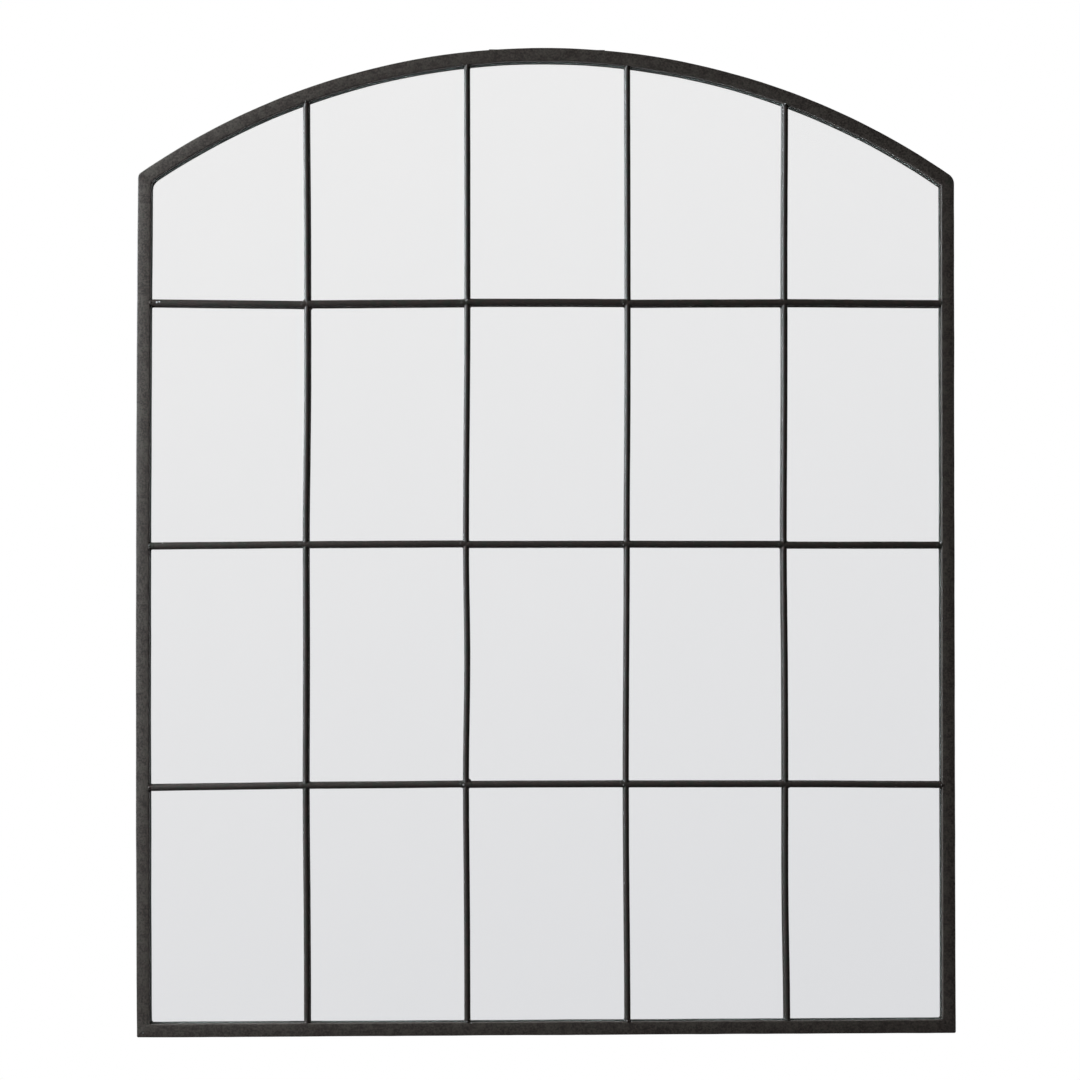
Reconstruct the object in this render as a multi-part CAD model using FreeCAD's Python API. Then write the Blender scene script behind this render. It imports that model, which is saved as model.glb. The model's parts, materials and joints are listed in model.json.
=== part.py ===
import FreeCAD, Part
import math
import os

# An arched wall mirror made like a steel window: a welded frame of square tube with an arched head,
# a grille of round rods, and one mirror lying behind the grille, held in from the back by turn buttons.
#
# Axes: +Z is up, +X is to the right seen from the front, and the front faces -Y. The wall is the plane
# y = 0. The origin lies midway between the round holes of the two keyholes that it hangs by.
# All sizes are in millimetres.

# ---- Frame -------------------------------------------------------------------------------------
OUTER_WIDTH = 800.0
SHOULDER_HEIGHT = 840.0        # from the underside of the sill to the outer shoulder corner
ARCH_RISE = 126.0              # from the shoulder corners to the crown
TUBE_FACE = 12.0               # width of the tube seen from the front
TUBE_WALL = 1.2
TUBE_CORNER_R = 1.2            # rounding of the tube's outer edges
TUBE_BORE_R = 0.3              # rounding of the edges inside the tube
SHOULDER_CORNER_R = 6.0        # ground-off weld at the outer shoulder corners
FOOT_CORNER_R = 1.5            # the same at the two bottom corners

# ---- Grille ------------------------------------------------------------------------------------
COLUMNS = 5                    # panes side by side; the rods divide the opening evenly
BAR_ROWS = ("low", "middle", "high")
ROW_PITCH = 234.6              # from the top of the sill to the first row, and from row to row
ROD_D = 5.0                    # upright rods, in one length from sill to head
BAR_D = 6.0                    # cross bars, in short lengths between the rods
BAR_COPE_DEPTH = 1.25          # how far a bar's hollowed end reaches round the rod it is welded to

# ---- Mirror and its backing --------------------------------------------------------------------
GLASS_T = 3.0
SILVERING_T = 0.1              # silver, copper and paint together
LINER_T = 0.5
BOARD_T = 2.3
GRILLE_TO_GLASS = 0.1
GLASS_EDGE_GAP = 0.8           # to the frame all round, before the glass settles on the sill
GLASS_SETTLE = 0.5             # how far the glass and its backing sit down towards the sill
BOARD_EDGE_GAP = 1.0
LINER_EDGE_GAP = 6.0

# ---- Hanger plate ------------------------------------------------------------------------------
HANGER_WIDTH = 114.0
HANGER_T = 2.0
HANGER_STEP = 4.0              # room for a screw head between the lower flange and the board
HANGER_STEP_LENGTH = 5.0       # height over which the plate steps back
HANGER_BELOW_CROWN = 1.5       # the plate's top edge, so that its corners just clear the arch
HANGER_WELD_HEIGHT = 10.5      # height of the flange that is welded to the head
HANGER_CORNER_R = 3.0
KEYHOLE_SPACING = 80.0
KEYHOLE_R = 5.0                # round hole that the screw head goes through
KEYSLOT_R = 2.5                # half the width of the slot that takes the screw's shank
KEYSLOT_RISE = 8.0             # from the round hole's centre to the slot's upper end
KEYHOLE_BELOW_STEP = 15.0      # from the foot of the step to the round holes' centres
HANGER_BELOW_KEYHOLE = 11.0

# ---- Turn buttons and their screws -------------------------------------------------------------
BUTTON_WIDTH = 11.0
BUTTON_REACH = 24.0            # from the screw to the button's tip
BUTTON_T = 1.5
BUTTON_GAP = 0.1               # running gap on both faces of a button
BUTTON_BORE_GAP = 0.05         # radial gap around the screw's shoulder
SHOULDER_D = 4.2
THREAD_D = 3.3
THREAD_GAP = 0.05              # radial gap in the tube's hole
THREAD_REACH = 8.0             # how far the screw goes past the tube's back face
HEAD_D = 8.0
HEAD_T = 2.2
HEAD_EDGE_T = 0.9              # height of the head's straight rim, under the dome
RECESS_SPAN = 4.4
RECESS_WIDTH = 1.0
RECESS_DEPTH = 1.2

# ---- Wall bumpers ------------------------------------------------------------------------------
BUMPER_D = 10.0
BUMPER_EDGE_R = 1.0
BUMPER_HEIGHT = 22.0           # centre above the underside of the sill

# ---- Stations along Y, from the wall to the front ----------------------------------------------
FRAME_BACK_Y = -(HANGER_STEP + HANGER_T)
BOARD_FRONT_Y = FRAME_BACK_Y - BOARD_T
LINER_FRONT_Y = BOARD_FRONT_Y - LINER_T
SILVER_FRONT_Y = LINER_FRONT_Y - SILVERING_T
GLASS_FRONT_Y = SILVER_FRONT_Y - GLASS_T
GRILLE_R = max(ROD_D, BAR_D) / 2
GRILLE_Y = GLASS_FRONT_Y - GRILLE_TO_GLASS - GRILLE_R
FRAME_FRONT_Y = GRILLE_Y - GRILLE_R
FRAME_DEPTH = FRAME_BACK_Y - FRAME_FRONT_Y

# ---- Stations along Z, and the arch ------------------------------------------------------------
STEP_FOOT_BELOW_CROWN = HANGER_BELOW_CROWN + HANGER_WELD_HEIGHT + HANGER_STEP_LENGTH
CROWN_Z = STEP_FOOT_BELOW_CROWN + KEYHOLE_BELOW_STEP
BOTTOM_Z = CROWN_Z - ARCH_RISE - SHOULDER_HEIGHT
HALF_WIDTH = OUTER_WIDTH / 2
ARCH_R = (HALF_WIDTH ** 2 + ARCH_RISE ** 2) / (2 * ARCH_RISE)
ARCH_CENTRE_Z = CROWN_Z - ARCH_R
OPENING_HALF = HALF_WIDTH - TUBE_FACE
COLUMN_PITCH = 2 * OPENING_HALF / COLUMNS
ROD_X = [COLUMN_PITCH * (i + 1) - OPENING_HALF for i in range(COLUMNS - 1)]
ROW_Z = [BOTTOM_Z + TUBE_FACE + ROW_PITCH * (i + 1) for i in range(len(BAR_ROWS))]
TUBE_MID = TUBE_FACE / 2       # from the outer edge to the tube's centre line

UP = FreeCAD.Vector(0, 0, 1)
RIGHT = FreeCAD.Vector(1, 0, 0)
BACK = FreeCAD.Vector(0, 1, 0)


def point(x, y, z):
    return FreeCAD.Vector(x, y, z)


def arch_z(inset, x):
    """Height of the arch, moved in by inset, at a distance x from the middle."""
    return ARCH_CENTRE_Z + math.sqrt((ARCH_R - inset) ** 2 - x ** 2)


def save(name, shape):
    shape.exportStep("parts/" + name + ".step")


# ---- Outline of the window ---------------------------------------------------------------------
def window_prism(inset, front_y, depth):
    """The window's outline, moved in by inset, as a slab from front_y back by depth."""
    half = HALF_WIDTH - inset
    low = BOTTOM_Z + inset
    shoulder = arch_z(inset, half)
    foot_left = point(-half, front_y, low)
    foot_right = point(half, front_y, low)
    shoulder_left = point(-half, front_y, shoulder)
    shoulder_right = point(half, front_y, shoulder)
    crown = point(0, front_y, CROWN_Z - inset)
    outline = Part.Wire([
        Part.makeLine(foot_left, foot_right),
        Part.makeLine(foot_right, shoulder_right),
        Part.Arc(shoulder_right, crown, shoulder_left).toShape(),
        Part.makeLine(shoulder_left, foot_left),
    ])
    return Part.Face(outline).extrude(BACK * depth)


def frame_envelope():
    """The frame's outside, with the corners rounded as the welds are ground."""
    slab = window_prism(0, FRAME_FRONT_Y, FRAME_DEPTH)
    corners = [e for e in slab.Edges if abs(e.tangentAt(e.FirstParameter).y) > 0.999]
    low = [e for e in corners if e.CenterOfMass.z < BOTTOM_Z + TUBE_FACE]
    high = [e for e in corners if e.CenterOfMass.z > BOTTOM_Z + TUBE_FACE]
    return slab.makeFillet(SHOULDER_CORNER_R, high).makeFillet(FOOT_CORNER_R, low)


# ---- Tube frame --------------------------------------------------------------------------------
def rounded_rectangle(width, depth, radius):
    """A rectangle in the XY plane, centred on the Z axis, with rounded corners."""
    block = Part.makeBox(width, depth, 1, point(-width / 2, -depth / 2, 0))
    upright = [e for e in block.Edges if abs(e.tangentAt(e.FirstParameter).z) > 0.999]
    block = block.makeFillet(radius, upright)
    return [f for f in block.Faces if abs(f.CenterOfMass.z) < 1e-6][0]


def tube_section():
    """Cross section of the tube in the XY plane, its middle on the Z axis at the frame's depth."""
    outside = rounded_rectangle(TUBE_FACE, FRAME_DEPTH, TUBE_CORNER_R)
    bore = rounded_rectangle(TUBE_FACE - 2 * TUBE_WALL, FRAME_DEPTH - 2 * TUBE_WALL, TUBE_BORE_R)
    section = outside.cut(bore)
    section.translate(point(0, (FRAME_FRONT_Y + FRAME_BACK_Y) / 2, 0))
    return section


def corner_point(side, at_shoulder, steps):
    """A point on a mitre line: 0 is the outer corner, 1 the inner one, and so on past both."""
    if at_shoulder:
        outer_z = arch_z(0, HALF_WIDTH)
        inner_z = arch_z(TUBE_FACE, OPENING_HALF)
    else:
        outer_z = BOTTOM_Z
        inner_z = BOTTOM_Z + TUBE_FACE
    x = side * (HALF_WIDTH - steps * TUBE_FACE)
    return point(x, FRAME_FRONT_Y, outer_z + steps * (inner_z - outer_z))


def wedge(corners):
    """A slab over the frame's depth that ends at the mitre lines."""
    return Part.Face(Part.makePolygon(corners + corners[:1])).extrude(BACK * FRAME_DEPTH)


def jamb_tube(side):
    overrun = 2 * TUBE_FACE
    tube = tube_section().extrude(UP * (SHOULDER_HEIGHT + 2 * overrun))
    tube.translate(point(side * (HALF_WIDTH - TUBE_MID), 0, BOTTOM_Z - overrun))
    return tube.common(wedge([
        corner_point(side, False, -1),
        corner_point(side, False, 2),
        corner_point(side, True, 2),
        corner_point(side, True, -1),
    ]))


def sill_tube():
    tube = tube_section().extrude(UP * OUTER_WIDTH)
    tube.rotate(point(0, 0, 0), BACK, 90)
    tube.translate(point(-HALF_WIDTH, 0, BOTTOM_Z + TUBE_MID))
    return tube.common(wedge([
        corner_point(-1, False, -1),
        corner_point(-1, False, 2),
        corner_point(1, False, 2),
        corner_point(1, False, -1),
    ]))


def head_tube():
    """The tube bent along the arch: its section swung about the arch's centre."""
    swing = math.degrees(math.asin(HALF_WIDTH / ARCH_R)) + math.degrees(TUBE_FACE / ARCH_R)
    section = tube_section()
    section.translate(point(-(ARCH_R - TUBE_MID), 0, 0))
    section.rotate(point(0, 0, 0), BACK, 90 - swing)
    section.translate(point(0, 0, ARCH_CENTRE_Z))
    tube = section.revolve(point(0, 0, ARCH_CENTRE_Z), BACK, 2 * swing)
    above = CROWN_Z + TUBE_FACE
    return tube.common(wedge([
        corner_point(-1, True, 2),
        corner_point(-1, True, -1),
        point(-HALF_WIDTH - TUBE_FACE, FRAME_FRONT_Y, above),
        point(HALF_WIDTH + TUBE_FACE, FRAME_FRONT_Y, above),
        corner_point(1, True, -1),
        corner_point(1, True, 2),
    ]))


# ---- Turn buttons ------------------------------------------------------------------------------
def button_places():
    """Where the turn buttons pivot, and the angle about Y that points each at the opening."""
    jamb_x = HALF_WIDTH - TUBE_MID
    sill_z = BOTTOM_Z + TUBE_MID
    side_x = ROD_X[-1]
    head_z = arch_z(TUBE_MID, side_x)
    lean = math.degrees(math.asin(side_x / (ARCH_R - TUBE_MID)))
    places = []
    for z in (ROW_Z[0], ROW_Z[-1]):
        places.append((-jamb_x, z, 0))
        places.append((jamb_x, z, 180))
    for side in (-1, 1):
        places.append((side * side_x, sill_z, -90))
        places.append((side * side_x, head_z, 90 + side * lean))
    return places


def place_on_back(shape, place):
    """Turns a shape made at the origin, pointing along +X, and puts it on the frame's back."""
    x, z, angle = place
    shape.rotate(point(0, 0, 0), BACK, angle)
    shape.translate(point(x, FRAME_BACK_Y, z))
    return shape


def turn_button():
    """A flat steel button with round ends, its hole at the origin and its tip along +X."""
    end_r = BUTTON_WIDTH / 2
    tip_x = BUTTON_REACH - end_r
    strip = Part.makeBox(tip_x, BUTTON_T, BUTTON_WIDTH, point(0, BUTTON_GAP, -end_r))
    for x in (0, tip_x):
        strip = strip.fuse(Part.makeCylinder(end_r, BUTTON_T, point(x, BUTTON_GAP, 0), BACK))
    hole_r = SHOULDER_D / 2 + BUTTON_BORE_GAP
    hole = Part.makeCylinder(hole_r, BUTTON_T, point(0, BUTTON_GAP, 0), BACK)
    return strip.cut(hole).removeSplitter()


def button_screw():
    """A pan-head screw: thread in the tube, shoulder in the button, domed head with a cross."""
    shoulder_length = BUTTON_T + 2 * BUTTON_GAP
    thread = Part.makeCylinder(THREAD_D / 2, THREAD_REACH, point(0, -THREAD_REACH, 0), BACK)
    shoulder = Part.makeCylinder(SHOULDER_D / 2, shoulder_length, point(0, 0, 0), BACK)
    rim = Part.makeCylinder(HEAD_D / 2, HEAD_EDGE_T, point(0, shoulder_length, 0), BACK)
    dome_t = HEAD_T - HEAD_EDGE_T
    dome_r = ((HEAD_D / 2) ** 2 + dome_t ** 2) / (2 * dome_t)
    dome_y = shoulder_length + HEAD_T - dome_r
    ball = Part.makeSphere(dome_r, point(0, dome_y, 0))
    rim_top = shoulder_length + HEAD_EDGE_T
    dome = ball.common(Part.makeCylinder(HEAD_D / 2, dome_t, point(0, rim_top, 0), BACK))
    screw = thread.fuse([shoulder, rim, dome])
    floor_y = shoulder_length + HEAD_T - RECESS_DEPTH
    for angle in (0, 90):
        corner = point(-RECESS_SPAN / 2, floor_y, -RECESS_WIDTH / 2)
        slot = Part.makeBox(RECESS_SPAN, RECESS_DEPTH, RECESS_WIDTH, corner)
        slot.rotate(point(0, 0, 0), BACK, angle)
        screw = screw.cut(slot)
    return screw.removeSplitter()


def screw_holes():
    """Clearance for the screws' threads through the back wall of the tube."""
    radius = THREAD_D / 2 + THREAD_GAP
    return [
        place_on_back(Part.makeCylinder(radius, 2 * TUBE_WALL, point(0, -2 * TUBE_WALL, 0), BACK), place)
        for place in button_places()
    ]


# ---- Grille ------------------------------------------------------------------------------------
def upright_rod(x, opening):
    rod = Part.makeCylinder(ROD_D / 2, CROWN_Z - BOTTOM_Z, point(x, GRILLE_Y, BOTTOM_Z), UP)
    return rod.common(opening)


def cross_bars(z, opening, rods):
    """One row of bars, each cut to the rods or the frame at its ends."""
    ends = [-HALF_WIDTH] + ROD_X + [HALF_WIDTH]
    start_gap = ROD_D / 2 - BAR_COPE_DEPTH
    bars = []
    for left, right in zip(ends, ends[1:]):
        start = left + start_gap
        length = right - left - 2 * start_gap
        bar = Part.makeCylinder(BAR_D / 2, length, point(start, GRILLE_Y, z), RIGHT)
        bars.append(bar.common(opening).cut(rods))
    return bars


# ---- Hanger plate and bumpers ------------------------------------------------------------------
def hanger_plate():
    """A plate that steps back from the head to the wall, with two keyholes in its lower flange."""
    top_z = CROWN_Z - HANGER_BELOW_CROWN
    step_top_z = top_z - HANGER_WELD_HEIGHT
    step_foot_z = step_top_z - HANGER_STEP_LENGTH
    low_z = -HANGER_BELOW_KEYHOLE
    x = -HANGER_WIDTH / 2
    side = [
        point(x, FRAME_BACK_Y, top_z),
        point(x, FRAME_BACK_Y + HANGER_T, top_z),
        point(x, FRAME_BACK_Y + HANGER_T, step_top_z),
        point(x, 0, step_foot_z),
        point(x, 0, low_z),
        point(x, -HANGER_T, low_z),
        point(x, -HANGER_T, step_foot_z),
        point(x, FRAME_BACK_Y, step_top_z),
    ]
    plate = Part.Face(Part.makePolygon(side + side[:1])).extrude(RIGHT * HANGER_WIDTH)
    low_corners = [
        e for e in plate.Edges
        if abs(e.tangentAt(e.FirstParameter).y) > 0.999 and e.CenterOfMass.z < low_z + HANGER_CORNER_R
    ]
    plate = plate.makeFillet(HANGER_CORNER_R, low_corners)
    for x in (-KEYHOLE_SPACING / 2, KEYHOLE_SPACING / 2):
        plate = plate.cut(Part.makeCylinder(KEYHOLE_R, HANGER_T, point(x, -HANGER_T, 0), BACK))
        plate = plate.cut(Part.makeBox(
            2 * KEYSLOT_R, HANGER_T, KEYSLOT_RISE, point(x - KEYSLOT_R, -HANGER_T, 0)))
        plate = plate.cut(
            Part.makeCylinder(KEYSLOT_R, HANGER_T, point(x, -HANGER_T, KEYSLOT_RISE), BACK))
    return plate.removeSplitter()


def wall_bumper(side):
    centre = point(side * (HALF_WIDTH - TUBE_MID), FRAME_BACK_Y, BOTTOM_Z + BUMPER_HEIGHT)
    pad = Part.makeCylinder(BUMPER_D / 2, -FRAME_BACK_Y, centre, BACK)
    rim = [e for e in pad.Edges if abs(e.CenterOfMass.y) < 1e-6 and len(e.Vertexes) == 1]
    return pad.makeFillet(BUMPER_EDGE_R, rim)


# ---- The whole mirror --------------------------------------------------------------------------
def main():
    os.makedirs("parts", exist_ok=True)

    envelope = frame_envelope()
    holes = screw_holes()
    frame = {
        "left_jamb": jamb_tube(-1),
        "right_jamb": jamb_tube(1),
        "sill": sill_tube(),
        "arched_head": head_tube(),
    }
    for name, tube in frame.items():
        save(name, tube.common(envelope).cut(holes))

    opening = window_prism(TUBE_FACE, FRAME_FRONT_Y, FRAME_DEPTH)
    rods = [upright_rod(x, opening) for x in ROD_X]
    for number, rod in enumerate(rods, 1):
        save("upright_rod_" + str(number), rod)
    for row, z in zip(BAR_ROWS, ROW_Z):
        for number, bar in enumerate(cross_bars(z, opening, rods), 1):
            save("cross_bar_" + row + "_" + str(number), bar)

    sheets = {
        "mirror_glass": (GLASS_EDGE_GAP, GLASS_FRONT_Y, GLASS_T),
        "mirror_silvering": (GLASS_EDGE_GAP, SILVER_FRONT_Y, SILVERING_T),
        "card_liner": (LINER_EDGE_GAP, LINER_FRONT_Y, LINER_T),
        "backing_board": (BOARD_EDGE_GAP, BOARD_FRONT_Y, BOARD_T),
    }
    for name, (edge_gap, front_y, thickness) in sheets.items():
        sheet = window_prism(TUBE_FACE + edge_gap, front_y, thickness)
        sheet.translate(UP * -GLASS_SETTLE)
        save(name, sheet)

    save("hanger_plate", hanger_plate())
    save("wall_bumper_left", wall_bumper(-1))
    save("wall_bumper_right", wall_bumper(1))

    for number, place in enumerate(button_places(), 1):
        save("turn_button_" + str(number), place_on_back(turn_button(), place))
    screws = [place_on_back(button_screw(), place) for place in button_places()]
    save("turn_button_screws", Part.makeCompound(screws))


main()
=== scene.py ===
"""The looks of an arched window mirror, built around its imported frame.

Axes: +Z is up, +X is to the right seen from the front, and the front faces -Y. Sizes are in metres.
"""

import json
import math
import random

import bmesh
import bpy
from bpy.props import FloatProperty, FloatVectorProperty, IntProperty, PointerProperty
from mathutils import Matrix, Vector, noise


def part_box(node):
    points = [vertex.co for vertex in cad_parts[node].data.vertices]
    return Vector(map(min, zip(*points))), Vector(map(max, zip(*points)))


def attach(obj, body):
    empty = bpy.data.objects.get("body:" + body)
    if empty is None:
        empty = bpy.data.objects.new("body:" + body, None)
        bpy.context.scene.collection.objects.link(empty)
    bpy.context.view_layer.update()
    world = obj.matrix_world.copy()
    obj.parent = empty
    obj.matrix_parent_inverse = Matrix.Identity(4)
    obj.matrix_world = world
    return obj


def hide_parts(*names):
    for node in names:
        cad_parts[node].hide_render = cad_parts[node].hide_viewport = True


bl_info = {
    "name": "Arched window mirror",
    "version": (1, 0, 0),
    "blender": (4, 5, 0),
    "location": "3D View > Sidebar > Mirror",
    "description": "Builds an arched mirror with a welded tube frame and a rod grille",
    "category": "Object",
}

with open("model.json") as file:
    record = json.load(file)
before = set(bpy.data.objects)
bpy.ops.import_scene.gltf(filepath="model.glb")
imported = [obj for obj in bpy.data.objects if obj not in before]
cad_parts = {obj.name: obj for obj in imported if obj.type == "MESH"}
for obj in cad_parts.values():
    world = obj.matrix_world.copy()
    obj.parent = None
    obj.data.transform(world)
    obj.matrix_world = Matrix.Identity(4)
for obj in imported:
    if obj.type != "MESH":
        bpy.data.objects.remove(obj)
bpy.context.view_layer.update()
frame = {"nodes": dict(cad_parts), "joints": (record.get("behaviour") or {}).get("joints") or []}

MM = 0.001
NEAR = 0.01 * MM               # closer than this, two places count as one
SHARP = math.radians(60)       # an edge that turns by more than this is an arris
TO_WALL = (0, 1, 0)
WINDOW = "window"
ROWS = ("high", "middle", "low")
RODS = (1, 2, 3, 4)
BARS = (1, 2, 3, 4, 5)

# ---- Places read from the frame ------------------------------------------------------------------
SILL_LOW, SILL_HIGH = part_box("sill")
HEAD_LOW, HEAD_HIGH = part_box("arched_head")
GLASS_FRONT_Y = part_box("mirror_glass")[0].y
HALF_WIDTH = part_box("right_jamb")[1].x
TUBE_FACE = SILL_HIGH.z - SILL_LOW.z
BOTTOM_Z = SILL_LOW.z
CROWN_Z = HEAD_HIGH.z
FRONT_Y = SILL_LOW.y
BACK_Y = SILL_HIGH.y
OPENING_HALF = HALF_WIDTH - TUBE_FACE
INNER_RISE = CROWN_Z - TUBE_FACE - HEAD_LOW.z
ARCH_R = (OPENING_HALF ** 2 + INNER_RISE ** 2) / (2 * INNER_RISE) + TUBE_FACE
ARCH_CENTRE_Z = CROWN_Z - ARCH_R


def middle(node):
    low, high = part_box(node)
    return (low + high) / 2


ROD_X = [middle("upright_rod_%d" % number).x for number in RODS]
ROD_R = (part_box("upright_rod_1")[1].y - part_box("upright_rod_1")[0].y) / 2
ROW_Z = {row: middle("cross_bar_%s_3" % row).z for row in ROWS}
BAR_R = (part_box("cross_bar_high_3")[1].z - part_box("cross_bar_high_3")[0].z) / 2
GRILLE_Y = middle("upright_rod_1").y

# ---- How far the hand-set grille strays from its even spacing, in millimetres --------------------
# Sideways, each rod at the head, at the three rows from the top, and at the sill.
ROD_STRAY = (
    (-2.9, -1.9, -3.4, -3.5, -2.2),
    (-0.9, -0.8, -2.3, -2.5, -1.3),
    (1.1, 1.3, 0.2, -1.0, 0.3),
    (1.3, 0.4, -0.7, 0.4, 1.8),
)
# Extra bow of each rod between those five places.
ROD_BOW = (
    (0.2, 0.5, 0.3, 0.2),
    (0.1, 0.0, 1.2, 0.2),
    (0.1, 0.2, 0.0, -0.1),
    (-0.1, 0.2, 0.3, -0.7),
)
# Height of each bar's left and right end, from the left bay to the right bay.
BAR_STRAY = {
    "high": ((-0.6, -1.7), (-1.1, 0.4), (1.0, 1.1), (0.4, 1.4), (1.4, 0.9)),
    "middle": ((-3.2, -1.7), (-1.9, -1.1), (-1.7, -1.4), (-1.4, -1.6), (-2.4, -2.3)),
    "low": ((-4.3, -2.5), (-2.6, -1.8), (-2.1, -1.9), (-2.1, -2.4), (-2.4, -3.6)),
}
JAMB_BOW = (-1.4, -0.2)        # middle of the left and right jamb, sideways
JAMB_LEAN = (0.7, 0.4)         # shoulder of the left and right jamb, sideways
FACE_BUILD = 0.7               # how much wider the paint and the filler make the tube's face
FIT_GAP = 0.1                  # what is left open round the glass and the board
FACE = TUBE_FACE + FACE_BUILD * MM
INSIDE_HALF = HALF_WIDTH - FACE
ROD_BUILD = (0.6, 0.5, 0.3, 0.35)    # how much the paint adds to each side of a rod
BAR_BUILD = {"high": 0.4, "middle": 0.4, "low": 0.15}

# ---- Welds ----------------------------------------------------------------------------------------
# Where a crossing's weld bulges, as its place from the crossing and its half width, in millimetres.
WELD_BULGES = {
    ("high", 1): ((-2.6, 2.9, 1.5), (2.7, -2.9, 1.5)),
    ("high", 2): ((-1.2, 3.4, 1.2), (2.4, 3.2, 1.0)),
    ("middle", 1): ((-3.3, 1.2, 1.9),),
    ("middle", 4): ((-3.3, 0.4, 1.9),),
    ("middle", 3): ((-2.9, -2.6, 1.1),),
    ("low", 2): ((2.9, 3.2, 2.0), (-2.8, 2.6, 1.2)),
    ("low", 4): ((-2.9, 2.6, 1.3), (2.9, -2.8, 1.2)),
}
SHOULDER_FILLETS = ((-1, 6.0), (1, 0.8))     # side, and reach along the jamb, in millimetres
RIGHT_SHOULDER = 1.7            # how many times rounder the right shoulder is ground than the left

# ---- Painted glints (painted highlights) and a bare chip, as x, z and radius in millimetres ------
# Tone of both: a painted highlight where it stands for a glint, bare steel at the chip.
GLINT_AND_CHIP_TONE = (0.34, 0.33, 0.33, 1)
# Painted glints along the sill's inner top edge, and a bare chip at its left corner.
SILL_GLINTS_AND_CHIP = ((69.3, -920.6, 0.8), (77.6, -920.4, 0.6), (-75.2, -921.2, 0.6), (-393.8, -929.6, 0.4))
# Painted glints on a bar and at the left end of the high row.
BAR_GLINTS = ((-375.4, -453.2, 0.7), (-380.9, -218.6, 1.0), (-378.4, -218.2, 0.9))
# Painted glints on the welds.
WELD_GLINTS = (
    (-380.9, -218.6, 1.0), (-378.4, -218.2, 0.9), (233.6, -21.6, 0.8), (-79.8, -216.4, 0.6),
    (-78.6, -215.4, 0.6), (-81.7, -224.3, 0.7), (-82.6, -689.4, 0.9), (74.2, -219.1, 0.6),
    (74.0, -455.2, 0.6), (73.8, -689.9, 0.6), (386.2, -453.0, 0.7),
)

# ---- Sizes of the hardware ------------------------------------------------------------------------
KEYHOLE_X = 40 * MM
KEYHOLE_R = 5.0 * MM
KEYHOLE_SLOT_R = 2.5 * MM
KEYHOLE_RISE = 8.0 * MM
PLATE_T = 2.0 * MM
PLATE_CORNER_R = 3.0 * MM
PLATE_STEP_Z = (15.0 * MM, 20.0 * MM)
PLATE_BEND_R = 1.0 * MM
HANGER_PROUD = 2.6 * MM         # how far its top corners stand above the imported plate, as they show
BUTTON_END_R = 5.5 * MM
BUTTON_REACH = 18.5 * MM        # from the screw to the middle of the far round end
BUTTON_BORE_R = 2.15 * MM
SCREW_HEAD_Y = 1.7 * MM         # the underside of the head, from the frame's back
SCREW_HEAD_R = 4.0 * MM
SCREW_RIM_T = 0.9 * MM
SCREW_HEAD_T = 2.2 * MM
# The screw below its head, as radius and place from the frame's back: shoulder, thread and point.
SCREW_STEPS = ((2.1, 1.7), (2.1, 0), (1.65, 0), (1.65, -6.5), (0, -8))
CROSS_SIZE = (4.4 * MM, 1.0 * MM)
CROSS_Y = (2.7 * MM, 4.2 * MM)  # floor and top of the cross that is pressed into the head


# ---- Settings ------------------------------------------------------------------------------------
def length(name, description, default, low=-10.0, high=10.0):
    """A length in metres."""
    return FloatProperty(
        name=name, description=description, default=default, min=low, max=high, unit="LENGTH", precision=5)


def count(name, description, default, low, high):
    return IntProperty(name=name, description=description, default=default, min=low, max=high)


def tint(name, description, default):
    return FloatVectorProperty(
        name=name, description=description, default=default, subtype="COLOR", size=4, min=0, max=1)


def degrees(name, description, default):
    return FloatProperty(name=name, description=description, default=math.radians(default), subtype="ANGLE")


def power(name, description, default):
    return FloatProperty(
        name=name, description=description, default=default, min=0, max=1000, unit="POWER")


class FrameSettings(bpy.types.PropertyGroup):
    """The welded tube frame."""
    edge_round: length("Tube rounding", "Radius of the tube's long edges", 1.2 * MM, 0.0002, 0.004)
    shoulder_round: length(
        "Shoulder rounding", "Radius of the ground weld at the two shoulders", 6.0 * MM, 0.0005, 0.02)
    foot_round: length(
        "Foot rounding", "Radius of the ground weld at the two bottom corners", 1.5 * MM, 0.0005, 0.01)
    arch_steps: count("Arch steps", "Facets along the arched head", 120, 24, 400)
    side_cuts: count("Side cuts", "Cuts along the jambs and the sill", 90, 0, 400)
    dents: length("Dents", "Depth of the tube's shallow dents", 0.22 * MM, 0.0, 0.002)


class GrilleSettings(bpy.types.PropertyGroup):
    """The rods, the bars and their welds."""
    rod_sides: count("Rod sides", "Facets round a rod or a bar", 20, 8, 64)
    rod_steps: count("Rod steps", "Rings along an upright rod", 150, 20, 600)
    bar_steps: count("Bar steps", "Rings along a cross bar", 40, 8, 200)
    weld_grain: length("Weld grain", "Size of the finest bump in the weld metal", 0.4 * MM, 0.0002, 0.002)


class PaintSettings(bpy.types.PropertyGroup):
    """The near-black bronze paint."""
    base: tint("Paint", "Main colour of the paint", (0.0205, 0.0163, 0.0140, 1))
    ruddy: tint("Ruddy mottling", "Colour of the warmer patches", (0.0350, 0.0195, 0.0165, 1))
    olive: tint("Olive mottling", "Colour of the cooler patches", (0.0175, 0.0190, 0.0140, 1))
    worn: tint("Worn edge", "Colour where the paint is rubbed thin", (0.052, 0.042, 0.036, 1))
    roughness: FloatProperty(
        name="Roughness", description="How matt the paint is", default=0.46, min=0, max=1,
        subtype="FACTOR")


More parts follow.
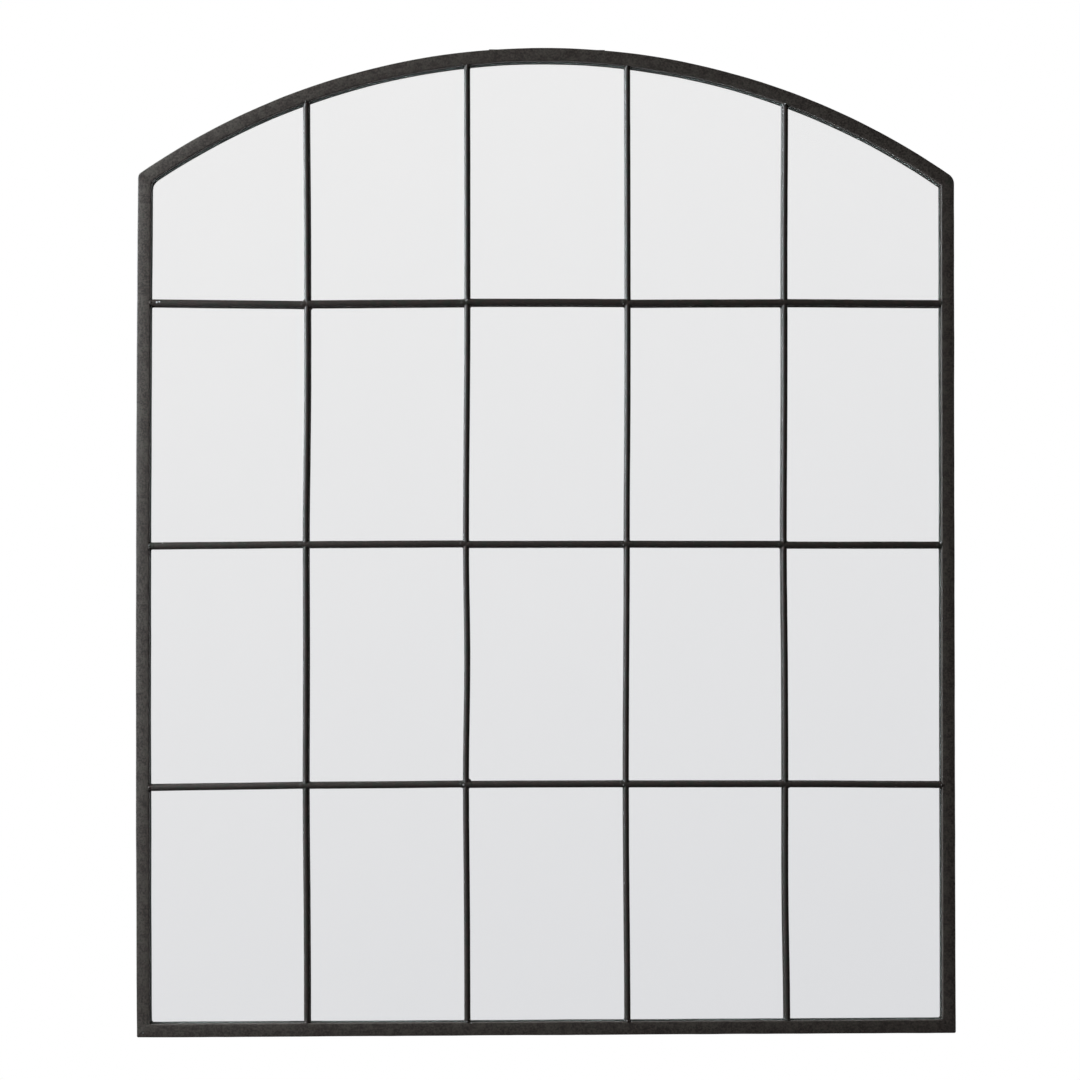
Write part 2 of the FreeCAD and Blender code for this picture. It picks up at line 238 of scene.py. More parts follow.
class StageSettings(bpy.types.PropertyGroup):
    """The camera and the lamps."""
    distance: length("Camera distance", "From the camera to the frame's face", 2.2, 1)
    eye_x: length("Camera sideways", "Place of the camera, to the right of the middle", -0.0649)
    eye_height: length("Camera height", "Height of the camera over the frame's bottom", 0.400)
    yaw: degrees("Camera yaw", "Turn of the camera to the right", 1.491)
    pitch: degrees("Camera pitch", "Tilt of the camera upwards", 0.448)
    roll: degrees("Camera roll", "Lean of the camera", -0.054)
    lens: FloatProperty(
        name="Lens", description="Focal length in millimetres", default=75.05, min=10, max=400)
    rise: FloatProperty(
        name="Lens rise", description="How far the lens is raised, as a share of the picture's width",
        default=0.0629, min=-0.5, max=0.5, precision=4)
    key_power: power("Key lamp", "Power of the large lamp at the left front", 83.0)
    near_power: power("Near lamp", "Power of the strip lamp beside the left jamb", 5.2)
    back_power: power("Back lamps", "Power of each of the two lamps that light the back", 24.0)


# ---- Material helpers ----------------------------------------------------------------------------
def add(tree, kind, inputs=None, **settings):
    """Adds a shader node. An input is a value, or the socket it is linked from."""
    node = tree.nodes.new(kind)
    for name, value in settings.items():
        setattr(node, name, value)
    for name, value in (inputs or {}).items():
        if isinstance(value, bpy.types.NodeSocket):
            tree.links.new(value, node.inputs[name])
        else:
            node.inputs[name].default_value = value
    return node


def new_material(name):
    """A material with only an output and a Principled shader. Returns it, its tree and the shader."""
    material = bpy.data.materials.new(name)
    material.use_nodes = True
    tree = material.node_tree
    tree.nodes.clear()
    shader = add(tree, "ShaderNodeBsdfPrincipled")
    add(tree, "ShaderNodeOutputMaterial", {"Surface": shader.outputs[0]})
    return material, tree, shader


def object_place(tree, stretch=(1, 1, 1)):
    """Where the shaded point lies on the object, with the pattern squeezed by stretch."""
    coords = add(tree, "ShaderNodeTexCoord").outputs["Object"]
    return add(tree, "ShaderNodeMapping", {"Vector": coords, "Scale": stretch}).outputs[0]


def speckle(tree, place, size, detail=3.0, roughness=0.55, distortion=0.0):
    """Cloudy noise whose patches are about size across."""
    return add(tree, "ShaderNodeTexNoise", {
        "Vector": place, "Scale": 1 / size, "Detail": detail, "Roughness": roughness,
        "Distortion": distortion}).outputs["Fac"]


def spread(tree, value, low, high, to_low=0.0, to_high=1.0):
    """Stretches value so that low to high becomes to_low to to_high, and clamps it."""
    return add(tree, "ShaderNodeMapRange", {
        "Value": value, "From Min": low, "From Max": high, "To Min": to_low, "To Max": to_high,
    }).outputs[0]


def times(tree, a, b):
    return add(tree, "ShaderNodeMath", {0: a, 1: b}, operation="MULTIPLY").outputs[0]


def plus(tree, a, b):
    return add(tree, "ShaderNodeMath", {0: a, 1: b}, operation="ADD").outputs[0]


def blend(tree, share, first, second):
    """The first colour, and the second one where share is 1."""
    return add(tree, "ShaderNodeMix", {0: share, 6: first, 7: second}, data_type="RGBA").outputs[2]


def wear_share(tree):
    """How exposed to rubbing the surface is, from the mesh's own layer."""
    return add(tree, "ShaderNodeAttribute", attribute_name="wear").outputs["Fac"]


def dress(tree, shader, colour, roughness, normal):
    """Links a colour, a roughness and a bumped normal to the shader."""
    for socket, value in (("Base Color", colour), ("Roughness", roughness), ("Normal", normal)):
        tree.links.new(value, shader.inputs[socket])


def relief(tree, height, depth, below=None):
    """Bumps as deep as depth where height is 1."""
    inputs = {"Height": height, "Distance": depth, "Strength": 1.0}
    if below is not None:
        inputs["Normal"] = below
    return add(tree, "ShaderNodeBump", inputs).outputs[0]


# ---- Materials -----------------------------------------------------------------------------------
def glints_and_chips(tree, colour, spots):
    """Painted glints (painted highlights), and bare chips, at places seen from the front: each is x, z and
    a radius, in millimetres.
    """
    flat = object_place(tree, (1, 0, 1))
    ragged = times(tree, speckle(tree, flat, 0.9 * MM, detail=2), 0.9 * MM)
    for x, z, radius in spots:
        away = add(
            tree, "ShaderNodeVectorMath", {0: flat, 1: (x * MM, 0, z * MM)}, operation="DISTANCE")
        edge = plus(tree, away.outputs["Value"], ragged)
        share = spread(tree, edge, (radius + 0.5) * MM, (radius + 0.2) * MM)
        colour = blend(tree, share, colour, GLINT_AND_CHIP_TONE)
    return colour


def bronze_paint(name, lumps=0.06 * MM, streaks=(1, 1, 1), spots=()):
    """Near-black bronze paint: fine ruddy and olive mottling, dust nibs, edges rubbed thin, and painted
    glints at the spots given.
    """
    paint = bpy.context.scene.mirror_paint
    material, tree, shader = new_material(name)
    place = object_place(tree)
    clouds = speckle(tree, place, 7 * MM, detail=4)
    mottle = speckle(tree, place, 1.8 * MM, detail=4, distortion=0.6)
    grain = speckle(tree, place, 0.6 * MM, detail=2)
    drawn = speckle(tree, object_place(tree, streaks), 0.7 * MM, detail=3)
    nibs = speckle(tree, place, 1.1 * MM, detail=1)
    colour = blend(tree, spread(tree, mottle, 0.48, 0.62), paint.base, paint.ruddy)
    colour = blend(tree, spread(tree, clouds, 0.50, 0.64, 0, 0.9), colour, paint.olive)
    colour = blend(tree, spread(tree, drawn, 0.56, 0.74, 0, 0.55), colour, paint.worn)
    colour = blend(tree, spread(tree, grain, 0.30, 0.44, 0.45, 0), colour, (0.008, 0.007, 0.007, 1))
    patches = plus(tree, mottle, times(tree, clouds, 0.5))
    rubbed = times(tree, wear_share(tree), spread(tree, patches, 0.64, 0.86))
    colour = blend(tree, rubbed, colour, paint.worn)
    # Painted highlights (glints), and bare chips, at the given spots.
    colour = glints_and_chips(tree, colour, spots)
    rough = spread(tree, mottle, 0.3, 0.7, paint.roughness - 0.08, paint.roughness + 0.10)
    bumps = relief(tree, clouds, lumps * 2)
    bumps = relief(tree, mottle, lumps, bumps)
    bumps = relief(tree, spread(tree, nibs, 0.68, 0.78), lumps, bumps)
    dress(tree, shader, colour, rough, bumps)
    shader.inputs["Specular IOR Level"].default_value = 0.35
    return material


def clear_glass():
    """Clear float glass with a trace of green and a hardly visible waviness."""
    material, tree, shader = new_material("clear_float_glass")
    shader.inputs["Transmission Weight"].default_value = 1.0
    shader.inputs["IOR"].default_value = 1.52
    shader.inputs["Roughness"].default_value = 0.0
    waves = speckle(tree, object_place(tree, (1, 1, 0.4)), 90 * MM, detail=1)
    tint = blend(tree, waves, (0.992, 0.994, 0.993, 1), (0.986, 0.990, 0.988, 1))
    tree.links.new(tint, shader.inputs["Base Color"])
    tree.links.new(relief(tree, waves, 0.004 * MM), shader.inputs["Normal"])
    return material


def mirror_silver():
    """The silver on the glass's back, seen through the glass."""
    material, tree, shader = new_material("mirror_silver")
    shader.inputs["Metallic"].default_value = 1.0
    place = object_place(tree)
    haze = speckle(tree, place, 60 * MM, detail=3)
    tone = blend(tree, haze, (0.955, 0.958, 0.962, 1), (0.965, 0.967, 0.970, 1))
    tree.links.new(tone, shader.inputs["Base Color"])
    tree.links.new(spread(tree, haze, 0.3, 0.8, 0.0, 0.012), shader.inputs["Roughness"])
    return material


def ground_edge():
    """Sea-green ground edge of the glass."""
    material, tree, shader = new_material("ground_glass_edge")
    grain = speckle(tree, object_place(tree, (1, 6, 1)), 1.5 * MM, detail=4)
    tone = blend(tree, grain, (0.160, 0.190, 0.180, 1), (0.260, 0.300, 0.280, 1))
    dress(tree, shader, tone, spread(tree, grain, 0.3, 0.7, 0.25, 0.5), relief(tree, grain, 0.03 * MM))
    return material


def back_paint():
    """Grey-brown protective paint on the silver's back, with roller streaks."""
    material, tree, shader = new_material("mirror_back_paint")
    streaks = speckle(tree, object_place(tree, (1, 1, 0.05)), 4 * MM, detail=3)
    tone = blend(tree, streaks, (0.12, 0.115, 0.105, 1), (0.19, 0.18, 0.165, 1))
    rough = spread(tree, streaks, 0.3, 0.7, 0.45, 0.6)
    dress(tree, shader, tone, rough, relief(tree, streaks, 0.02 * MM))
    return material


def liner_card():
    """Grey-brown card with short fibres."""
    material, tree, shader = new_material("liner_card")
    fibres = speckle(tree, object_place(tree, (1, 1, 0.25)), 0.8 * MM, detail=5, distortion=1.2)
    clouds = speckle(tree, object_place(tree), 25 * MM, detail=3)
    tone = blend(tree, fibres, (0.36, 0.31, 0.23, 1), (0.60, 0.54, 0.43, 1))
    tone = blend(tree, spread(tree, clouds, 0.4, 0.8, 0, 0.4), tone, (0.42, 0.37, 0.30, 1))
    rough = spread(tree, fibres, 0.3, 0.7, 0.8, 0.95)
    dress(tree, shader, tone, rough, relief(tree, fibres, 0.04 * MM))
    return material


def hardboard():
    """Brown pressed hardboard: dark flecks and pale fibres, slightly polished by the press."""
    material, tree, shader = new_material("pressed_hardboard")
    place = object_place(tree)
    fibres = speckle(tree, place, 1.4 * MM, detail=6, distortion=1.8)
    flecks = speckle(tree, place, 3.0 * MM, detail=3, distortion=0.8)
    clouds = speckle(tree, place, 70 * MM, detail=3)
    pale = spread(tree, fibres, 0.35, 0.68)
    tone = blend(tree, pale, (0.115, 0.060, 0.030, 1), (0.235, 0.140, 0.075, 1))
    tone = blend(tree, spread(tree, flecks, 0.64, 0.74, 0, 0.75), tone, (0.045, 0.024, 0.013, 1))
    tone = blend(tree, spread(tree, clouds, 0.45, 0.75, 0, 0.35), tone, (0.29, 0.185, 0.105, 1))
    frayed = times(tree, wear_share(tree), spread(tree, fibres, 0.4, 0.6))
    tone = blend(tree, frayed, tone, (0.40, 0.28, 0.18, 1))
    bumps = relief(tree, fibres, 0.05 * MM, relief(tree, flecks, 0.05 * MM))
    dress(tree, shader, tone, spread(tree, fibres, 0.3, 0.7, 0.42, 0.62), bumps)
    return material


def zinc_plate(name, dull, bright, rough):
    """Zinc-plated steel: crystal mottling, fine drawing lines, edges rubbed bright."""
    material, tree, shader = new_material(name)
    shader.inputs["Metallic"].default_value = 1.0
    place = object_place(tree)
    lines = speckle(tree, object_place(tree, (1, 1, 0.08)), 0.35 * MM, detail=3)
    bloom = speckle(tree, place, 3.0 * MM, detail=4)
    tone = blend(tree, spread(tree, bloom, 0.35, 0.7), dull, bright)
    tone = blend(tree, spread(tree, lines, 0.5, 0.75, 0, 0.4), tone, bright)
    tone = blend(tree, times(tree, wear_share(tree), 0.8), tone, (0.80, 0.80, 0.79, 1))
    bumps = relief(tree, lines, 0.012 * MM, relief(tree, bloom, 0.02 * MM))
    dress(tree, shader, tone, spread(tree, bloom, 0.3, 0.7, rough, rough + 0.14), bumps)
    return material


def bumper_rubber():
    """Matt black rubber with a bloom and a moulded grain."""
    material, tree, shader = new_material("bumper_rubber")
    place = object_place(tree)
    bloom = speckle(tree, place, 4 * MM, detail=4)
    grain = speckle(tree, place, 0.4 * MM, detail=2)
    tone = blend(tree, bloom, (0.018, 0.018, 0.018, 1), (0.040, 0.040, 0.041, 1))
    dress(tree, shader, tone, spread(tree, bloom, 0.3, 0.7, 0.65, 0.85), relief(tree, grain, 0.04 * MM))
    return material


# ---- Mesh helpers --------------------------------------------------------------------------------
def mesh_object(bm, name):
    """Turns a bmesh into an object of the scene."""
    mesh = bpy.data.meshes.new(name)
    bm.to_mesh(mesh)
    bm.free()
    made = bpy.data.objects.new(name, mesh)
    bpy.context.scene.collection.objects.link(made)
    return made


def make_piece(bm, name, materials, body=WINDOW, stands_for=(), crease=40):
    """Turns a bmesh into a piece that rides on a body and stands for CAD nodes."""
    bmesh.ops.remove_doubles(bm, verts=bm.verts[:], dist=0.002 * MM)
    bmesh.ops.recalc_face_normals(bm, faces=bm.faces[:])
    piece = mesh_object(bm, name)
    for material in materials:
        piece.data.materials.append(material)
    piece.data.shade_smooth()
    piece.data.set_sharp_from_angle(angle=math.radians(crease))
    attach(piece, body)
    if stands_for:
        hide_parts(*stands_for)
    return piece


def wear_layer(bm):
    """The float layer that says how exposed to rubbing a vertex is, from 0 to 1."""
    return bm.verts.layers.float.get("wear") or bm.verts.layers.float.new("wear")


def round_edges(bm, edges, radius, segments):
    """Rounds edges, and marks the new rounding as worn."""
    layer = wear_layer(bm)
    made = bmesh.ops.bevel(
        bm, geom=edges, offset=radius, offset_type="OFFSET", segments=segments, profile=0.5,
        affect="EDGES", material=-1, clamp_overlap=True)
    for vertex in made["verts"]:
        vertex[layer] = 1.0


def arrises(bm):
    """The sharp edges that run round a flat front or back face."""
    return [
        edge for edge in bm.edges
        if edge.calc_face_angle(0) > SHARP and abs(edge.verts[0].co.y - edge.verts[1].co.y) < NEAR
    ]


def arc(bm, start, centre, angle, steps):
    """Adds an arc that lies flat against the wall, and returns its first and last point."""
    first = bm.verts.new(start)
    made = bmesh.ops.spin(bm, geom=[first], cent=centre, axis=TO_WALL, angle=angle, steps=steps)
    return first, made["geom_last"][0]


def close_holes(bm):
    """Fills every open rim."""
    rims = [edge for edge in bm.edges if edge.is_boundary]
    if rims:
        bmesh.ops.holes_fill(bm, edges=rims, sides=0)


def between(stops, values, at):
    """Reads values given at rising stops, easing from each to the next."""
    if at <= stops[0]:
        return values[0]
    for low, high, first, second in zip(stops, stops[1:], values, values[1:]):
        if at <= high:
            share = (at - low) / (high - low)
            share = share * share * (3 - 2 * share)
            return first + (second - first) * share
    return values[-1]


def ripple(place, size, seed):
    """Smooth noise from -1 to 1 whose swells are about size across."""
    return noise.noise(Vector(place) / size + Vector((seed, seed * 1.7, seed * 0.3)))


# ---- Tube frame ----------------------------------------------------------------------------------
def arch_z(inset, x):
    """Height at x of the arch that runs inset below the head's top."""
    return ARCH_CENTRE_Z + math.sqrt((ARCH_R - inset) ** 2 - x ** 2)


def window_outline(bm, inset, y):
    """Adds the window's outline, moved in by inset, as one face at depth y."""
    settings = bpy.context.scene.mirror_frame
    half = HALF_WIDTH - inset
    shoulder = arch_z(inset, half)
    low = BOTTOM_Z + inset
    sweep = 2 * math.asin(half / (ARCH_R - inset))
    first, last = arc(bm, (-half, y, shoulder), (0, y, ARCH_CENTRE_Z), sweep, settings.arch_steps)
    foot_left = bm.verts.new((-half, y, low))
    foot_right = bm.verts.new((half, y, low))
    sides = [
        bm.edges.new((first, foot_left)),
        bm.edges.new((foot_left, foot_right)),
        bm.edges.new((foot_right, last)),
    ]
    bmesh.ops.subdivide_edges(bm, edges=sides, cuts=settings.side_cuts)
    return bmesh.ops.contextual_create(bm, geom=bm.edges[:])["faces"]


def push_back(bm, faces, depth):
    """Gives flat faces a thickness towards the wall."""
    made = bmesh.ops.extrude_face_region(bm, geom=faces)
    moved = [item for item in made["geom"] if isinstance(item, bmesh.types.BMVert)]
    bmesh.ops.translate(bm, verts=moved, vec=(0, depth, 0))


def hand_set(co):
    """How far the welded frame has pulled out of true at a point: each jamb bows and leans."""
    rise = min((co.z - BOTTOM_Z) / (HEAD_LOW.z - BOTTOM_Z), 1)
    side = 0 if co.x < 0 else 1
    near_jamb = between((ROD_X[3], OPENING_HALF), (0, 1), abs(co.x))
    pull = JAMB_BOW[side] * 4 * rise * (1 - rise) + JAMB_LEAN[side] * rise
    return pull * MM * near_jamb


def out_of_true(bm):
    """Pulls a mesh along with the welded frame."""
    for vertex in bm.verts:
        vertex.co.x += hand_set(vertex.co)


def frame_ring():
    """The whole frame in one ring, before it is cut into its four tubes."""
    settings = bpy.context.scene.mirror_frame
    bm = bmesh.new()
    wear_layer(bm)
    outline = window_outline(bm, 0, FRONT_Y)
    bmesh.ops.inset_region(
        bm, faces=outline, thickness=FACE, use_even_offset=True, use_boundary=True)
    bmesh.ops.delete(bm, geom=outline, context="FACES")
    push_back(bm, bm.faces[:], BACK_Y - FRONT_Y)
    bmesh.ops.recalc_face_normals(bm, faces=bm.faces[:])
    shoulder_turn = math.pi / 2 - math.asin(HALF_WIDTH / ARCH_R)
    shoulder_cut = settings.shoulder_round * math.tan(shoulder_turn / 2)
    corners = (
        (-HALF_WIDTH, arch_z(0, HALF_WIDTH), shoulder_cut),
        (HALF_WIDTH, arch_z(0, HALF_WIDTH), shoulder_cut * RIGHT_SHOULDER),
        (-HALF_WIDTH, BOTTOM_Z, settings.foot_round),
        (HALF_WIDTH, BOTTOM_Z, settings.foot_round),
    )
    for x, z, cut_back in corners:
        upright = [
            edge for edge in bm.edges
            if all(abs(v.co.x - x) < NEAR and abs(v.co.z - z) < NEAR for v in edge.verts)
        ]
        bmesh.ops.bevel(
            bm, geom=upright, offset=cut_back, offset_type="OFFSET", segments=6, profile=0.5,
            affect="EDGES", material=-1, clamp_overlap=False)
    round_edges(bm, arrises(bm), settings.edge_round, 4)
    dent(bm, settings.dents)
    out_of_true(bm)
    return bm


def dent(bm, depth):
    """Shallow dents and ripples, as a drawn tube has. None stands out of the back, where buttons turn."""
    bm.normal_update()
    shifts = [
        vertex.normal * depth * (
            ripple(vertex.co, 70 * MM, 3) + 0.5 * ripple(vertex.co, 22 * MM, 7)
            + 0.25 * ripple(vertex.co, 8 * MM, 11))
        for vertex in bm.verts
    ]
    for vertex, shift in zip(bm.verts, shifts):
        vertex.co += shift
        vertex.co.y = min(vertex.co.y, BACK_Y)


def mitre_planes():
    """For each corner, a point on the mitre line and the direction that points up out of it."""
    planes = {}
    for side, name in ((-1, "left"), (1, "right")):
        for level, outer_z, inner_z in (
                ("foot", BOTTOM_Z, BOTTOM_Z + FACE),
                ("shoulder", arch_z(0, HALF_WIDTH), arch_z(FACE, INSIDE_HALF))):
            outer = Vector((side * HALF_WIDTH, 0, outer_z))
            inner = Vector((side * INSIDE_HALF, 0, inner_z))
            normal = Vector((0, side, 0)).cross(inner - outer)
            planes[name + "_" + level] = (outer, normal.normalized())
    return planes


def cut_tube(ring, cuts):
    """A copy of the ring, kept on the upper side of each plane, or below it where flip is set."""
    bm = ring.copy()
    for (point, normal), flip in cuts:
        bmesh.ops.bisect_plane(
            bm, geom=bm.verts[:] + bm.edges[:] + bm.faces[:], dist=0.001 * MM,
            plane_co=point, plane_no=normal, clear_inner=not flip, clear_outer=flip)
    close_holes(bm)
    return bm


class MIRROR_OT_tube_frame(bpy.types.Operator):
    """Builds the two jambs, the sill and the arched head"""
    bl_idname = "window_mirror.tube_frame"
    bl_label = "Tube frame"

    def execute(self, context):
        ring = frame_ring()
        planes = mitre_planes()
        tubes = {
            "left_jamb": ((planes["left_foot"], False), (planes["left_shoulder"], True)),
            "right_jamb": ((planes["right_foot"], False), (planes["right_shoulder"], True)),
            "sill": ((planes["left_foot"], True), (planes["right_foot"], True)),
            "arched_head": ((planes["left_shoulder"], False), (planes["right_shoulder"], False)),
        }
        # The sill's paint gets painted glints along its inner top edge and a bare chip at its left corner.
        paint = bronze_paint("frame_bronze_paint", spots=SILL_GLINTS_AND_CHIP)
        for node, cuts in tubes.items():
            tube = cut_tube(ring, cuts)
            make_piece(tube, node + "_painted", [paint], stands_for=[node])
        ring.free()
        return {"FINISHED"}


# ---- Grille --------------------------------------------------------------------------------------
def rod_stations(number):
    """Heights at which a rod's stray is given, from the sill up."""
    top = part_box("upright_rod_%d" % number)[1].z
    return [BOTTOM_Z + TUBE_FACE, ROW_Z["low"], ROW_Z["middle"], ROW_Z["high"], top]


def rod_x(number, z):
    """Sideways place of a rod's middle line at height z."""
    stations = rod_stations(number)
    strays = ROD_STRAY[number - 1][::-1]
    stray = between(stations, strays, z)
    for low, high, bow in zip(stations, stations[1:], ROD_BOW[number - 1][::-1]):
        if low <= z <= high:
            stray += bow * math.sin(math.pi * (z - low) / (high - low)) ** 2
    return ROD_X[number - 1] + stray * MM


def bar_ends(row, number):
    """Sideways places of the two ends of a bar."""
    z = ROW_Z[row]
    left = -OPENING_HALF if number == 1 else rod_x(number - 1, z)
    right = OPENING_HALF if number == len(BARS) else rod_x(number, z)
    return left, right


def bar_z(row, number, share):
    """Height of a bar's middle line, at a share of its length from the left."""
    left, right = BAR_STRAY[row][number - 1]
    return ROW_Z[row] + (left + (right - left) * share) * MM


def round_bar(radius, build, steps, place, seed):
    """A round bar whose middle line is place(t), t from 0 to 1, made wider on both sides by build."""
    settings = bpy.context.scene.mirror_grille
    bm = bmesh.new()
    bmesh.ops.create_circle(bm, cap_ends=True, segments=settings.rod_sides, radius=radius)
    bmesh.ops.spin(
        bm, geom=bm.verts[:] + bm.edges[:] + bm.faces[:], cent=(0, 0, 0), axis=(0, 0, 1), angle=0,
        dvec=(0, 0, 1 / steps), steps=steps)
    stretch = 1 + build / radius
    for vertex in bm.verts:
        middle_line, side, depth = place(vertex.co.z)
        spot = middle_line + side * vertex.co.x * stretch + depth * vertex.co.y
        away = (spot - middle_line).normalized() if (spot - middle_line).length > 0 else side
        lump = 0.07 * ripple(spot, 9 * MM, seed) + 0.05 * ripple(spot, 30 * MM, seed + 5)
        vertex.co = spot + away * lump * MM
    return bm


def upright_rod(number):
    """One rod from inside the sill's top face to inside the head's."""
    settings = bpy.context.scene.mirror_grille
    low = BOTTOM_Z + TUBE_FACE - 0.6 * MM
    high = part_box("upright_rod_%d" % number)[1].z + 0.4 * MM

    def place(share):
        z = low + (high - low) * share
        x = rod_x(number, z)
        y = GRILLE_Y + 0.05 * MM * ripple((x, 0, z), 120 * MM, number)
        return Vector((x, y, z)), Vector((1, 0, 0)), Vector((0, 1, 0))

    return round_bar(ROD_R, ROD_BUILD[number - 1] * MM, settings.rod_steps, place, number)


def cross_bar(row, number):
    """One bar between two rods, or between a rod and a jamb."""
    settings = bpy.context.scene.mirror_grille
    left, right = bar_ends(row, number)
    bite = ROD_R * 0.6
    start = left - 0.6 * MM if number == 1 else left + bite
    end = right + 0.6 * MM if number == len(BARS) else right - bite

    def place(share):
        x = start + (end - start) * share
        z = bar_z(row, number, share)
        z += 0.12 * MM * ripple((x, 0, z), 60 * MM, number)
        return Vector((x, GRILLE_Y, z)), Vector((0, 0, 1)), Vector((0, 1, 0))

    return round_bar(BAR_R, BAR_BUILD[row] * MM, settings.bar_steps, place, number + 10)


class MIRROR_OT_grille(bpy.types.Operator):
    """Builds the four upright rods and the fifteen cross bars"""
    bl_idname = "window_mirror.grille"
    bl_label = "Grille"

    def execute(self, context):
        paint = bronze_paint("rod_bronze_paint", 0.05 * MM, (1, 1, 0.06))
        # The bars' paint gets painted glints.
        bar_paint = bronze_paint("bar_bronze_paint", 0.05 * MM, (0.06, 1, 1), BAR_GLINTS)
        for number in RODS:
            node = "upright_rod_%d" % number
            make_piece(upright_rod(number), node + "_painted", [paint], stands_for=[node])
        for row in ROWS:
            for number in BARS:
                node = "cross_bar_%s_%d" % (row, number)
                bar = cross_bar(row, number)
                make_piece(bar, node + "_painted", [bar_paint], stands_for=[node])
        return {"FINISHED"}


# ---- Welds ---------------------------------------------------------------------------------------
def add_blob(bm, centre, size):
    """A drop of weld metal, size giving its three half widths."""
    shape = Matrix.Translation(centre) @ Matrix.Diagonal((*size, 1))
    bmesh.ops.create_icosphere(bm, subdivisions=2, radius=1, matrix=shape)


def add_stub(bm, start, end, radius):
    """A short round stub from start to end, for the weld metal to run out along."""
    along = end - start
    turn = along.to_track_quat("Z", "Y").to_matrix().to_4x4()
    shape = Matrix.Translation((start + end) / 2) @ turn
    bmesh.ops.create_cone(
        bm, cap_ends=True, segments=20, radius1=radius, radius2=radius, depth=along.length,
        matrix=shape)


def weld_piece(bm, name, paint, softness=7):
    """Runs blobs and stubs together into one lumpy skin with hollow fillets."""
    grain = bpy.context.scene.mirror_grille.weld_grain
    rough = mesh_object(bm, name + "_rough")
    skin = rough.modifiers.new("skin", "REMESH")
    skin.mode = "VOXEL"
    skin.voxel_size = grain
    ease = rough.modifiers.new("ease", "SMOOTH")
    ease.factor = 0.5
    ease.iterations = softness
    evaluated = rough.evaluated_get(bpy.context.evaluated_depsgraph_get())
    smooth = bpy.data.meshes.new_from_object(evaluated)
    bpy.data.objects.remove(rough)
    smooth.name = name
    smooth.materials.clear()
    lumpy = bmesh.new()
    lumpy.from_mesh(smooth)
    lumpy.normal_update()
    for vertex in lumpy.verts:
        vertex.co += vertex.normal * 0.14 * MM * ripple(vertex.co, 2.6 * MM, 2)
    return make_piece(lumpy, name, [paint], crease=80)


def crossing_weld(bm, row, number, dice):
    """The weld where rod number crosses a row: a patch over the rod, and four uneven fillets."""
    z = (bar_z(row, number, 1) + bar_z(row, number + 1, 0)) / 2
    x = rod_x(number, z)
    centre = Vector((x, GRILLE_Y, z))
    reach = 6 * MM
    add_stub(bm, centre - Vector((0, 0, reach)), centre + Vector((0, 0, reach)), ROD_R + 0.2 * MM)
    left = Vector((x - reach, GRILLE_Y, bar_z(row, number, 1)))
    right = Vector((x + reach, GRILLE_Y, bar_z(row, number + 1, 0)))
    add_stub(bm, left, Vector((x, GRILLE_Y, left.z)), BAR_R + 0.2 * MM)
    add_stub(bm, Vector((x, GRILLE_Y, right.z)), right, BAR_R + 0.2 * MM)
    add_blob(bm, centre, (3.5 * MM, 3.2 * MM, 3.6 * MM))
    for side in (-1, 1):
        for level in (-1, 1):
            fat = dice.uniform(0.45, 0.95) * MM
            spot = centre + Vector((side * 2.9 * MM, dice.uniform(-0.6, 0.6) * MM, level * 3.1 * MM))
            add_blob(bm, spot, (fat, fat * 1.2, fat))
    for x_off, z_off, fat in WELD_BULGES.get((row, number), ()):
        spot = centre + Vector((x_off * MM, -0.8 * MM, z_off * MM))
        add_blob(bm, spot, (fat * MM, 1.4 * MM, fat * MM))


def end_weld(bm, spot, away, radius, dice, flare=1.7 * MM):
    """The weld where a rod or bar meets the frame: a short collar that flares onto the frame."""
    add_stub(bm, spot - away * 0.8 * MM, spot + away * 5 * MM, radius + 0.15 * MM)
    across = away.cross(Vector((0, 1, 0))).normalized()
    for step in range(8):
        turn = step * math.pi / 4
        rim = across * math.cos(turn) + Vector((0, 1, 0)) * math.sin(turn)
        fat = dice.uniform(0.6, 1.25) * flare / 2
        add_blob(bm, spot + rim * (radius + 0.1 * MM) + away * 0.3 * MM, (fat, fat, fat * 1.3))


def shoulder_fillet(bm, side, reach):
    """The hollow fillet in an inner shoulder corner, from the frame's face back to the glass."""
    corner = Vector((side * INSIDE_HALF, 0, arch_z(FACE, INSIDE_HALF)))
    corner.x += hand_set(corner)
    down_jamb = Vector((0, 0, -1))
    slope = INSIDE_HALF / (corner.z - ARCH_CENTRE_Z)
    along_head = Vector((-side, 0, slope)).normalized()
    root = corner - (down_jamb + along_head).normalized() * 2.5 * MM
    front = FRONT_Y + 0.05 * MM
    outline = [root + down_jamb * reach, root, root + along_head * reach]
    for step in range(7):
        share = step / 6
        hollow = along_head * (1 - share) ** 2 + down_jamb * share ** 2
        outline.append(corner + hollow * reach)
    rim = [bm.verts.new((spot.x, front, spot.z)) for spot in outline]
    push_back(bm, [bm.faces.new(rim)], GLASS_FRONT_Y - 0.1 * MM - front)


